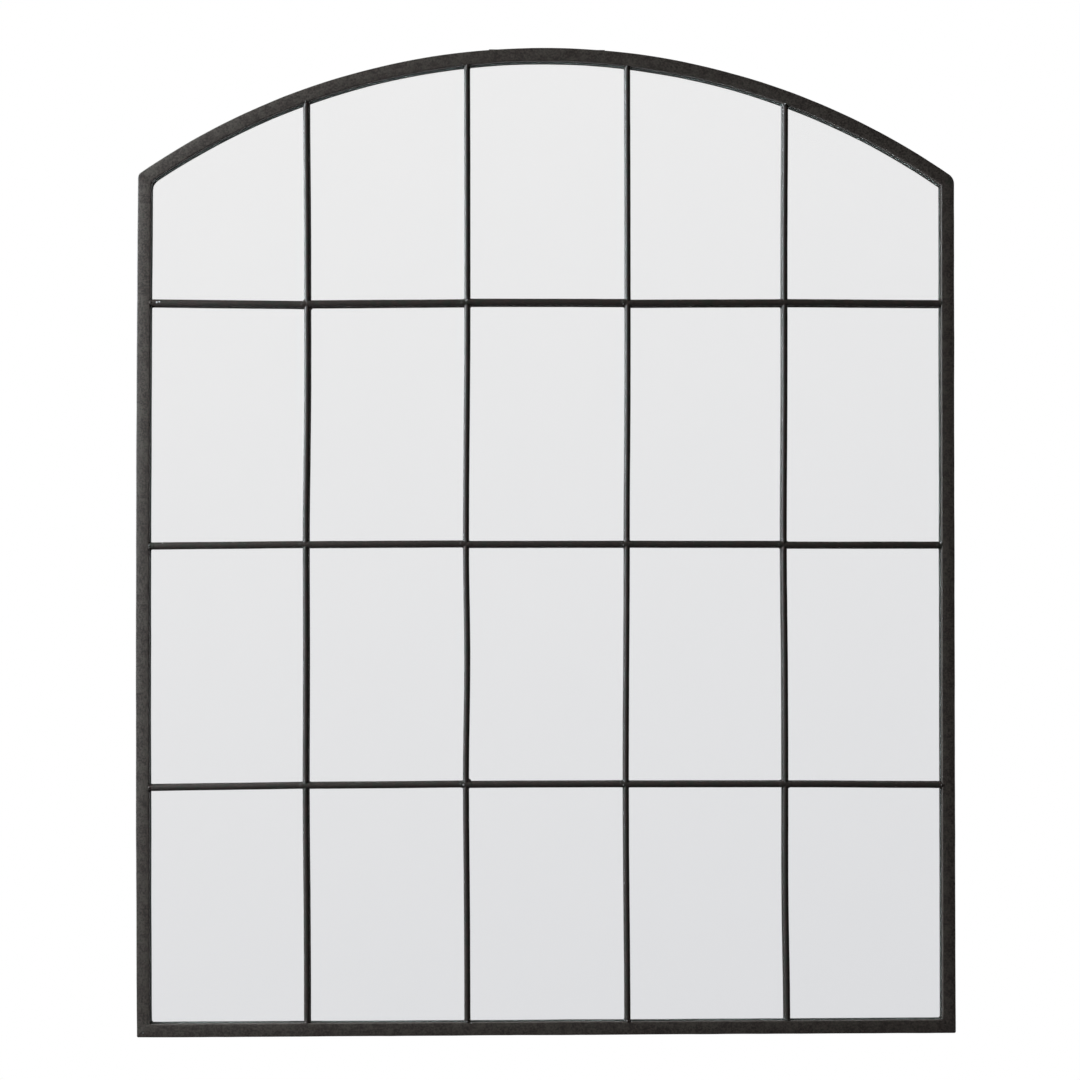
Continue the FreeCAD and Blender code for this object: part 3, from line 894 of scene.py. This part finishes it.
class MIRROR_OT_welds(bpy.types.Operator):
    """Builds the welds of the grille and of the frame's inner corners"""
    bl_idname = "window_mirror.welds"
    bl_label = "Welds"

    def execute(self, context):
        # The weld paint gets painted glints.
        paint = bronze_paint("weld_bronze_paint", 0.08 * MM, spots=WELD_GLINTS)
        dice = random.Random(41)
        for row in ROWS:
            bm = bmesh.new()
            for number in RODS:
                crossing_weld(bm, row, number, dice)
            weld_piece(bm, "crossing_welds_" + row, paint)
        bm = bmesh.new()
        for number in RODS:
            for z, away in ((BOTTOM_Z + FACE, 1), (arch_z(FACE, ROD_X[number - 1]), -1)):
                spot = Vector((rod_x(number, z), GRILLE_Y, z))
                end_weld(bm, spot, Vector((0, 0, away)), ROD_R, dice)
        weld_piece(bm, "rod_end_welds", paint)
        bm = bmesh.new()
        for row in ROWS:
            for side, number, share in ((-1, 1, 0), (1, len(BARS), 1)):
                spot = Vector((side * INSIDE_HALF, GRILLE_Y, bar_z(row, number, share)))
                spot.x += hand_set(spot)
                end_weld(bm, spot, Vector((-side, 0, 0)), BAR_R, dice)
        weld_piece(bm, "bar_end_welds", paint)
        bm = bmesh.new()
        for side, reach in SHOULDER_FILLETS:
            shoulder_fillet(bm, side, reach * MM)
        weld_piece(bm, "frame_corner_welds", paint, softness=4)
        return {"FINISHED"}


# ---- Glass and backing ---------------------------------------------------------------------------
def sheet(inset, front_y, back_y, edge_round):
    """A flat sheet in the window's outline, with its front and back arrises rounded."""
    bm = bmesh.new()
    wear_layer(bm)
    push_back(bm, window_outline(bm, inset, front_y), back_y - front_y)
    bmesh.ops.recalc_face_normals(bm, faces=bm.faces[:])
    if edge_round:
        round_edges(bm, arrises(bm), edge_round, 2)
    out_of_true(bm)
    return bm


def sheet_for(node, edge_round):
    """A sheet as thick as the node, cut to fit the frame's opening closely."""
    low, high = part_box(node)
    return sheet(FACE + FIT_GAP * MM, low.y, high.y, edge_round)


class MIRROR_OT_glass(bpy.types.Operator):
    """Builds the mirror glass with its silver, and the paint behind it"""
    bl_idname = "window_mirror.glass"
    bl_label = "Mirror glass"

    def execute(self, context):
        bm = sheet_for("mirror_glass", 0.3 * MM)
        bm.normal_update()
        for face in bm.faces:
            if face.normal.y > 0.99:
                face.material_index = 1
            elif face.normal.y > -0.99:
                face.material_index = 2
        materials = [clear_glass(), mirror_silver(), ground_edge()]
        make_piece(
            bm, "mirror_glass_pane", materials, stands_for=["mirror_glass"], crease=20)
        low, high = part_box("mirror_silvering")
        coat = sheet(FACE + FIT_GAP * MM, low.y + 0.02 * MM, high.y, 0)
        make_piece(coat, "mirror_back_coat", [back_paint()], stands_for=["mirror_silvering"])
        return {"FINISHED"}


class MIRROR_OT_backing(bpy.types.Operator):
    """Builds the backing board and finishes the card liner"""
    bl_idname = "window_mirror.backing"
    bl_label = "Backing board"

    def execute(self, context):
        bm = sheet_for("backing_board", 0.35 * MM)
        make_piece(bm, "backing_board_sheet", [hardboard()], stands_for=["backing_board"])
        liner = frame["nodes"]["card_liner"]
        liner.material_slots[0].material = liner_card()
        return {"FINISHED"}


# ---- Hanger --------------------------------------------------------------------------------------
def keyhole_rim(bm, x, y):
    """The edge of a keyhole: a round hole that runs up into a narrower slot."""
    mouth_z = math.sqrt(KEYHOLE_R ** 2 - KEYHOLE_SLOT_R ** 2)
    sweep = 2 * math.pi - 2 * math.asin(KEYHOLE_SLOT_R / KEYHOLE_R)
    side_x = x + KEYHOLE_SLOT_R
    mouth, far_mouth = arc(bm, (side_x, y, mouth_z), (x, y, 0), sweep, 30)
    top, far_top = arc(bm, (side_x, y, KEYHOLE_RISE), (x, y, KEYHOLE_RISE), -math.pi, 12)
    bm.edges.new((mouth, top))
    bm.edges.new((far_mouth, far_top))


def hanger_sheet():
    """The bent plate: a lower flange with two keyholes, a step, and a flange on the head."""
    low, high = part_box("hanger_plate")
    step_low_z, step_high_z = PLATE_STEP_Z
    weld_y = BACK_Y + PLATE_T
    bm = bmesh.new()
    wear_layer(bm)
    places = []
    corner_z = low.z + PLATE_CORNER_R
    for corner_x, start in ((low.x + PLATE_CORNER_R, math.pi), (high.x - PLATE_CORNER_R, 1.5 * math.pi)):
        for step in range(7):
            turn = start + step / 6 * math.pi / 2
            x = corner_x + PLATE_CORNER_R * math.cos(turn)
            places.append((x, corner_z + PLATE_CORNER_R * math.sin(turn)))
    places += [(high.x, step_low_z), (low.x, step_low_z)]
    corners = [bm.verts.new((x, high.y, z)) for x, z in places]
    rim = [bm.edges.new(pair) for pair in zip(corners, corners[1:] + corners[:1])]
    edge = rim[-2]
    for x in (-KEYHOLE_X, KEYHOLE_X):
        keyhole_rim(bm, x, high.y)
    bmesh.ops.triangle_fill(bm, use_beauty=True, edges=bm.edges[:], normal=TO_WALL)
    for y, z in ((weld_y, step_high_z), (weld_y, high.z + HANGER_PROUD)):
        made = bmesh.ops.extrude_edge_only(bm, edges=[edge])["geom"]
        for vertex in (item for item in made if isinstance(item, bmesh.types.BMVert)):
            vertex.co.y = y
            vertex.co.z = z
        edge = next(
            item for item in made
            if isinstance(item, bmesh.types.BMEdge) and all(abs(v.co.z - z) < NEAR for v in item.verts))
    return bm


class MIRROR_OT_hanger(bpy.types.Operator):
    """Builds the keyhole hanger plate and its weld"""
    bl_idname = "window_mirror.hanger"
    bl_label = "Hanger plate"

    def execute(self, context):
        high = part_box("hanger_plate")[1]
        bm = hanger_sheet()
        bends = [
            edge for edge in bm.edges
            if len(edge.link_faces) == 2 and edge.calc_face_angle(0) > math.radians(20)
        ]
        bmesh.ops.bevel(
            bm, geom=bends, offset=PLATE_BEND_R, offset_type="OFFSET", segments=4, profile=0.5,
            affect="EDGES", material=-1, clamp_overlap=False)
        bmesh.ops.recalc_face_normals(bm, faces=bm.faces[:])
        plate = make_piece(
            bm, "hanger_plate_bent", [bronze_paint("hanger_bronze_paint", 0.04 * MM)],
            stands_for=["hanger_plate"], crease=30)
        thick = plate.modifiers.new("plate thickness", "SOLIDIFY")
        thick.thickness = PLATE_T
        thick.offset = -1 if plate.data.polygons[0].normal.y > 0 else 1
        soft = plate.modifiers.new("soft arrises", "BEVEL")
        soft.width = 0.25 * MM
        soft.segments = 2
        soft.limit_method = "ANGLE"
        soft.angle_limit = math.radians(50)
        plate.modifiers.new("level faces", "WEIGHTED_NORMAL").keep_sharp = True
        dice = random.Random(5)
        weld = bmesh.new()
        run = -high.x + 4 * MM
        while run < high.x - 4 * MM:
            fat = dice.uniform(1.2, 1.7) * MM
            spot = Vector((run, BACK_Y - 0.4 * MM, arch_z(0, run) + 0.1 * MM))
            add_blob(weld, spot, (fat, fat, fat))
            run += 1.9 * MM
        for side in (-1, 1):
            z = 23 * MM
            while z < high.z - 1 * MM:
                fat = dice.uniform(1.1, 1.6) * MM
                add_blob(weld, Vector((side * high.x, BACK_Y + 0.5 * MM, z)), (fat, fat, fat))
                z += 1.8 * MM
        weld_piece(weld, "hanger_weld", bronze_paint("hanger_weld_paint", 0.08 * MM), softness=3)
        return {"FINISHED"}


# ---- Turn buttons, screws and bumpers ------------------------------------------------------------
def button_matrix(joint):
    """Carries a button drawn at the origin, pointing along +X, to its place on the frame's back."""
    pivot = Vector(joint["pos_m"])
    towards = middle(joint["child"]) - pivot
    towards.y = 0
    towards.normalize()
    back = Vector(TO_WALL)
    across = towards.cross(back)
    turn = Matrix((towards, back, across)).transposed().to_4x4()
    return Matrix.Translation(pivot) @ turn


def turn_button(joint):
    """A steel strip with round ends and a hole."""
    low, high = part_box(joint["child"])
    near_y = low.y - joint["pos_m"][1]
    bm = bmesh.new()
    wear_layer(bm)
    far_end = (BUTTON_REACH, near_y, 0)
    screw_end = (0, near_y, 0)
    tip, far_tip = arc(bm, (BUTTON_REACH, near_y, BUTTON_END_R), far_end, math.pi, 20)
    heel, far_heel = arc(bm, (0, near_y, -BUTTON_END_R), screw_end, math.pi, 20)
    bm.edges.new((far_tip, heel))
    bm.edges.new((far_heel, tip))
    rim = bm.verts.new((BUTTON_BORE_R, near_y, 0))
    bmesh.ops.spin(
        bm, geom=[rim], cent=screw_end, axis=TO_WALL, angle=2 * math.pi, steps=24, use_merge=True)
    bmesh.ops.triangle_fill(bm, use_beauty=True, edges=bm.edges[:], normal=(0, -1, 0))
    push_back(bm, bm.faces[:], high.y - low.y)
    bmesh.ops.recalc_face_normals(bm, faces=bm.faces[:])
    round_edges(bm, arrises(bm), 0.3 * MM, 2)
    bmesh.ops.transform(bm, matrix=button_matrix(joint), verts=bm.verts[:])
    return bm


class MIRROR_OT_turn_buttons(bpy.types.Operator):
    """Builds the eight swivelling steel buttons"""
    bl_idname = "window_mirror.turn_buttons"
    bl_label = "Turn buttons"

    def execute(self, context):
        steel = zinc_plate("button_steel", (0.16, 0.16, 0.157, 1), (0.25, 0.25, 0.245, 1), 0.42)
        for joint in frame["joints"]:
            node = joint["child"]
            make_piece(
                turn_button(joint), node + "_strip", [steel], node, [node], crease=20)
        return {"FINISHED"}


def screw_shape():
    """A pan-head screw at the origin, its head towards +Y, before the cross is pressed in."""
    bm = bmesh.new()
    wear_layer(bm)
    dome_t = SCREW_HEAD_T - SCREW_RIM_T
    dome_r = (SCREW_HEAD_R ** 2 + dome_t ** 2) / (2 * dome_t)
    crown_y = SCREW_HEAD_Y + SCREW_HEAD_T
    crown = bm.verts.new((0, crown_y, 0))
    last = bmesh.ops.spin(
        bm, geom=[crown], cent=(0, crown_y - dome_r, 0), axis=(0, 0, 1),
        angle=-math.asin(SCREW_HEAD_R / dome_r), steps=8)["geom_last"][0]
    for x, y in ((SCREW_HEAD_R, SCREW_HEAD_Y), *((r * MM, y * MM) for r, y in SCREW_STEPS)):
        point = bm.verts.new((x, y, 0))
        bm.edges.new((last, point))
        last = point
    bmesh.ops.spin(
        bm, geom=bm.verts[:] + bm.edges[:], cent=(0, 0, 0), axis=(0, 1, 0), angle=2 * math.pi,
        steps=36, use_merge=True)
    bmesh.ops.remove_doubles(bm, verts=bm.verts[:], dist=0.005 * MM)
    bmesh.ops.recalc_face_normals(bm, faces=bm.faces[:])
    rims = [
        edge for edge in bm.edges
        if edge.calc_face_angle(0) > math.radians(40)
        and (edge.verts[0].co.xz.length + edge.verts[1].co.xz.length) / 2 > 0.9 * SCREW_HEAD_R
    ]
    round_edges(bm, rims, 0.25 * MM, 2)
    return bm


def cross_cutter():
    """The tapered cross that is pressed into a screw's head."""
    floor_y, top_y = CROSS_Y
    half_way = (top_y + floor_y) / 2
    long_side, short_side = CROSS_SIZE
    bm = bmesh.new()
    for turn in (0, math.pi / 2):
        made = bmesh.ops.create_cube(bm, size=1)
        shape = Matrix.Rotation(turn, 4, "Y") @ Matrix.Translation((0, half_way, 0))
        shape = shape @ Matrix.Diagonal((long_side, top_y - floor_y, short_side, 1))
        bmesh.ops.transform(bm, matrix=shape, verts=made["verts"])
    for vertex in bm.verts:
        if vertex.co.y < half_way:
            vertex.co.x *= 0.7
            vertex.co.z *= 0.7
    return bm


class MIRROR_OT_screws(bpy.types.Operator):
    """Builds the eight screws that the buttons turn on"""
    bl_idname = "window_mirror.screws"
    bl_label = "Button screws"

    def execute(self, context):
        blank = mesh_object(screw_shape(), "screw_blank")
        cutter = mesh_object(cross_cutter(), "screw_cross")
        press = blank.modifiers.new("cross", "BOOLEAN")
        press.operation = "DIFFERENCE"
        press.solver = "EXACT"
        press.use_self = True
        press.object = cutter
        evaluated = blank.evaluated_get(bpy.context.evaluated_depsgraph_get())
        screw = bpy.data.meshes.new_from_object(evaluated)
        bpy.data.objects.remove(blank)
        bpy.data.objects.remove(cutter)
        dice = random.Random(8)
        bm = bmesh.new()
        for joint in frame["joints"]:
            before = set(bm.verts)
            bm.from_mesh(screw)
            added = [vertex for vertex in bm.verts if vertex not in before]
            turn = Matrix.Rotation(dice.uniform(0, math.pi), 4, "Y")
            place = Matrix.Translation(Vector(joint["pos_m"])) @ turn
            bmesh.ops.transform(bm, matrix=place, verts=added)
        zinc = zinc_plate("screw_zinc", (0.46, 0.46, 0.45, 1), (0.66, 0.66, 0.65, 1), 0.24)
        make_piece(
            bm, "turn_button_screw_set", [zinc], stands_for=["turn_button_screws"], crease=32)
        return {"FINISHED"}


class MIRROR_OT_bumpers(bpy.types.Operator):
    """Builds the two rubber wall bumpers"""
    bl_idname = "window_mirror.bumpers"
    bl_label = "Wall bumpers"

    def execute(self, context):
        rubber = bumper_rubber()
        for side in ("left", "right"):
            node = "wall_bumper_" + side
            low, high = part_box(node)
            centre = middle(node)
            foot = Matrix.Translation((centre.x, low.y, centre.z)) @ Matrix.Rotation(math.pi / 2, 4, "X")
            bm = bmesh.new()
            wear_layer(bm)
            bmesh.ops.create_circle(
                bm, cap_ends=True, segments=40, radius=(high.x - low.x) / 2, matrix=foot)
            push_back(bm, bm.faces[:], high.y - low.y)
            bmesh.ops.recalc_face_normals(bm, faces=bm.faces[:])
            rim = [edge for edge in bm.edges if all(abs(v.co.y - high.y) < NEAR for v in edge.verts)]
            round_edges(bm, rim, 1.0 * MM, 5)
            faces = [face for face in bm.faces if face.calc_center_median().y > high.y - NEAR]
            bmesh.ops.inset_region(bm, faces=faces, thickness=1.2 * MM, use_even_offset=True)
            for vertex in {v for face in faces for v in face.verts}:
                vertex.co.y -= 0.35 * MM
            make_piece(bm, node + "_pad", [rubber], stands_for=[node])
        return {"FINISHED"}


# ---- Stage ---------------------------------------------------------------------------------------
def look_matrix(settings):
    """The camera's place and turn."""
    ahead = Vector((
        math.sin(settings.yaw) * math.cos(settings.pitch),
        math.cos(settings.yaw) * math.cos(settings.pitch),
        math.sin(settings.pitch),
    ))
    right = Vector((math.cos(settings.yaw), -math.sin(settings.yaw), 0))
    up = right.cross(ahead)
    lean_right = math.cos(settings.roll) * right + math.sin(settings.roll) * up
    lean_up = math.cos(settings.roll) * up - math.sin(settings.roll) * right
    turn = Matrix((lean_right, lean_up, -ahead)).transposed().to_4x4()
    eye = Vector((settings.eye_x, FRONT_Y - settings.distance, BOTTOM_Z + settings.eye_height))
    return Matrix.Translation(eye) @ turn


def studio_world():
    """White to the camera. What the mirror's glass lets through sees a soft sweep, brighter above and
    to the left. A sheen sees grey behind the mirror and dark before it, and matt things a dim dome."""
    world = bpy.data.worlds.new("studio")
    world.use_nodes = True
    tree = world.node_tree
    tree.nodes.clear()
    towards = add(tree, "ShaderNodeTexCoord").outputs["Generated"]
    parts = add(tree, "ShaderNodeSeparateXYZ", {"Vector": towards}).outputs
    height = spread(tree, parts["Z"], -0.203, 0.237, 0, 0.78)
    leftness = spread(tree, parts["X"], -0.19, 0.25, 0.22, 0)
    sweep = plus(tree, height, leftness)
    polished = blend(tree, sweep, (0.769, 0.772, 0.791, 1), (0.946, 0.940, 0.937, 1))
    aside = add(tree, "ShaderNodeMath", {0: parts["X"]}, operation="ABSOLUTE").outputs[0]
    front_side = times(tree, spread(tree, aside, 0.26, 0.62), spread(tree, parts["Y"], -0.05, -0.50))
    polished = blend(tree, front_side, polished, (0.45, 0.45, 0.46, 1))
    behind = spread(tree, parts["Y"], -0.35, 0.25)
    sheen = blend(tree, behind, (0.04, 0.04, 0.04, 1), (0.56, 0.57, 0.58, 1))
    above = spread(tree, parts["Z"], -0.1, 0.9)
    matt = blend(tree, above, (0.095, 0.088, 0.083, 1), (0.46, 0.44, 0.42, 1))
    path = add(tree, "ShaderNodeLightPath").outputs
    colour = blend(tree, path["Is Transmission Ray"], sheen, polished)
    colour = blend(tree, path["Is Diffuse Ray"], colour, matt)
    colour = blend(tree, path["Is Camera Ray"], colour, (1, 1, 1, 1))
    back = add(tree, "ShaderNodeBackground", {"Color": colour, "Strength": 1.0})
    add(tree, "ShaderNodeOutputWorld", {"Surface": back.outputs[0]})
    bpy.context.scene.world = world


MIDDLE = (0, 0, (BOTTOM_Z + CROWN_Z) / 2)
# Each lamp's name, place, aim, size, power setting and colour.
LAMPS = (
    ("key", (-1.75, -0.60, 0.35), MIDDLE, (0.9, 1.1), "key_power", (0.86, 0.95, 1.0)),
    ("near_left", (-0.85, -0.30, -0.44), (-HALF_WIDTH, FRONT_Y, -0.50), (0.12, 0.9), "near_power",
     (0.80, 0.92, 1.0)),
    ("back_left", (-1.4, 2.4, 0.9), MIDDLE, (2.6, 2.0), "back_power", (1, 1, 1)),
    ("back_right", (2.4, 1.2, 0.5), MIDDLE, (2.2, 2.0), "back_power", (1, 1, 1)),
)
FLOOR_DROP = 0.5                # from the frame's bottom down to the floor
FLOOR_R = 1.9


def area_lamp(name, place, target, size, energy, colour):
    """A rectangular lamp that the camera doesn't see."""
    lamp = bpy.data.lights.new(name, "AREA")
    lamp.color = colour
    lamp.shape = "RECTANGLE"
    lamp.size, lamp.size_y = size
    lamp.energy = energy
    made = bpy.data.objects.new(name, lamp)
    made.location = place
    made.rotation_euler = (Vector(target) - Vector(place)).to_track_quat("-Z", "Y").to_euler()
    made.visible_camera = False
    bpy.context.scene.collection.objects.link(made)


def pale_floor():
    """A pale floor that keeps the shadow and fades into the white at its rim."""
    bm = bmesh.new()
    down = Matrix.Translation((0, 0, BOTTOM_Z - FLOOR_DROP))
    bmesh.ops.create_circle(bm, cap_ends=True, segments=96, radius=FLOOR_R, matrix=down)
    floor = mesh_object(bm, "floor")
    material = bpy.data.materials.new("pale_floor")
    material.use_nodes = True
    tree = material.node_tree
    tree.nodes.clear()
    place = object_place(tree)
    parts = add(tree, "ShaderNodeSeparateXYZ", {"Vector": place}).outputs
    flat = add(tree, "ShaderNodeCombineXYZ", {"X": parts["X"], "Y": parts["Y"]}).outputs[0]
    radius = add(tree, "ShaderNodeVectorMath", {0: flat}, operation="LENGTH").outputs["Value"]
    grain = speckle(tree, place, 0.05, detail=4)
    tone = blend(tree, grain, (0.80, 0.80, 0.80, 1), (0.84, 0.84, 0.835, 1))
    seen = add(tree, "ShaderNodeLightPath").outputs["Is Camera Ray"]
    tone = blend(tree, seen, (0.15, 0.15, 0.15, 1), tone)
    matt = add(tree, "ShaderNodeBsdfDiffuse", {"Color": tone})
    glow = add(tree, "ShaderNodeEmission", {"Color": (1, 1, 1, 1), "Strength": 1.0})
    rim = times(tree, seen, spread(tree, radius, 0.7, 1.75, 0.25, 1.0))
    surface = add(tree, "ShaderNodeMixShader", {0: rim, 1: matt.outputs[0], 2: glow.outputs[0]})
    add(tree, "ShaderNodeOutputMaterial", {"Surface": surface.outputs[0]})
    floor.data.materials.append(material)


class MIRROR_OT_stage(bpy.types.Operator):
    """Sets the camera, the lamps, the white surroundings and the floor"""
    bl_idname = "window_mirror.stage"
    bl_label = "Stage"

    def execute(self, context):
        scene = context.scene
        settings = scene.mirror_stage
        scene.view_settings.view_transform = "Standard"
        camera = bpy.data.objects.new("camera", bpy.data.cameras.new("camera"))
        camera.data.lens = settings.lens
        camera.data.shift_y = settings.rise
        camera.data.clip_end = 50
        camera.matrix_world = look_matrix(settings)
        scene.collection.objects.link(camera)
        scene.camera = camera
        for name, place, target, size, setting, colour in LAMPS:
            area_lamp(name, place, target, size, getattr(settings, setting), colour)
        studio_world()
        pale_floor()
        return {"FINISHED"}


# ---- Panel and registration ----------------------------------------------------------------------
BUILDERS = (
    MIRROR_OT_tube_frame,
    MIRROR_OT_grille,
    MIRROR_OT_welds,
    MIRROR_OT_glass,
    MIRROR_OT_backing,
    MIRROR_OT_hanger,
    MIRROR_OT_turn_buttons,
    MIRROR_OT_screws,
    MIRROR_OT_bumpers,
    MIRROR_OT_stage,
)
SETTINGS = (
    ("mirror_frame", FrameSettings),
    ("mirror_grille", GrilleSettings),
    ("mirror_paint", PaintSettings),
    ("mirror_stage", StageSettings),
)


class MIRROR_PT_build(bpy.types.Panel):
    """Lists the settings and the building steps"""
    bl_label = "Arched window mirror"
    bl_space_type = "VIEW_3D"
    bl_region_type = "UI"
    bl_category = "Mirror"

    def draw(self, context):
        for name, group in SETTINGS:
            box = self.layout.box()
            for prop in group.__annotations__:
                box.prop(getattr(context.scene, name), prop)
        for builder in BUILDERS:
            self.layout.operator(builder.bl_idname)


def register():
    for name, group in SETTINGS:
        bpy.utils.register_class(group)
        setattr(bpy.types.Scene, name, PointerProperty(type=group))
    for builder in BUILDERS:
        bpy.utils.register_class(builder)
    bpy.utils.register_class(MIRROR_PT_build)


def unregister():
    bpy.utils.unregister_class(MIRROR_PT_build)
    for builder in reversed(BUILDERS):
        bpy.utils.unregister_class(builder)
    for name, group in reversed(SETTINGS):
        delattr(bpy.types.Scene, name)
        bpy.utils.unregister_class(group)


def main():
    register()
    for builder in BUILDERS:
        section, step = builder.bl_idname.split(".")
        getattr(getattr(bpy.ops, section), step)()


if __name__ == "__main__":
    main()
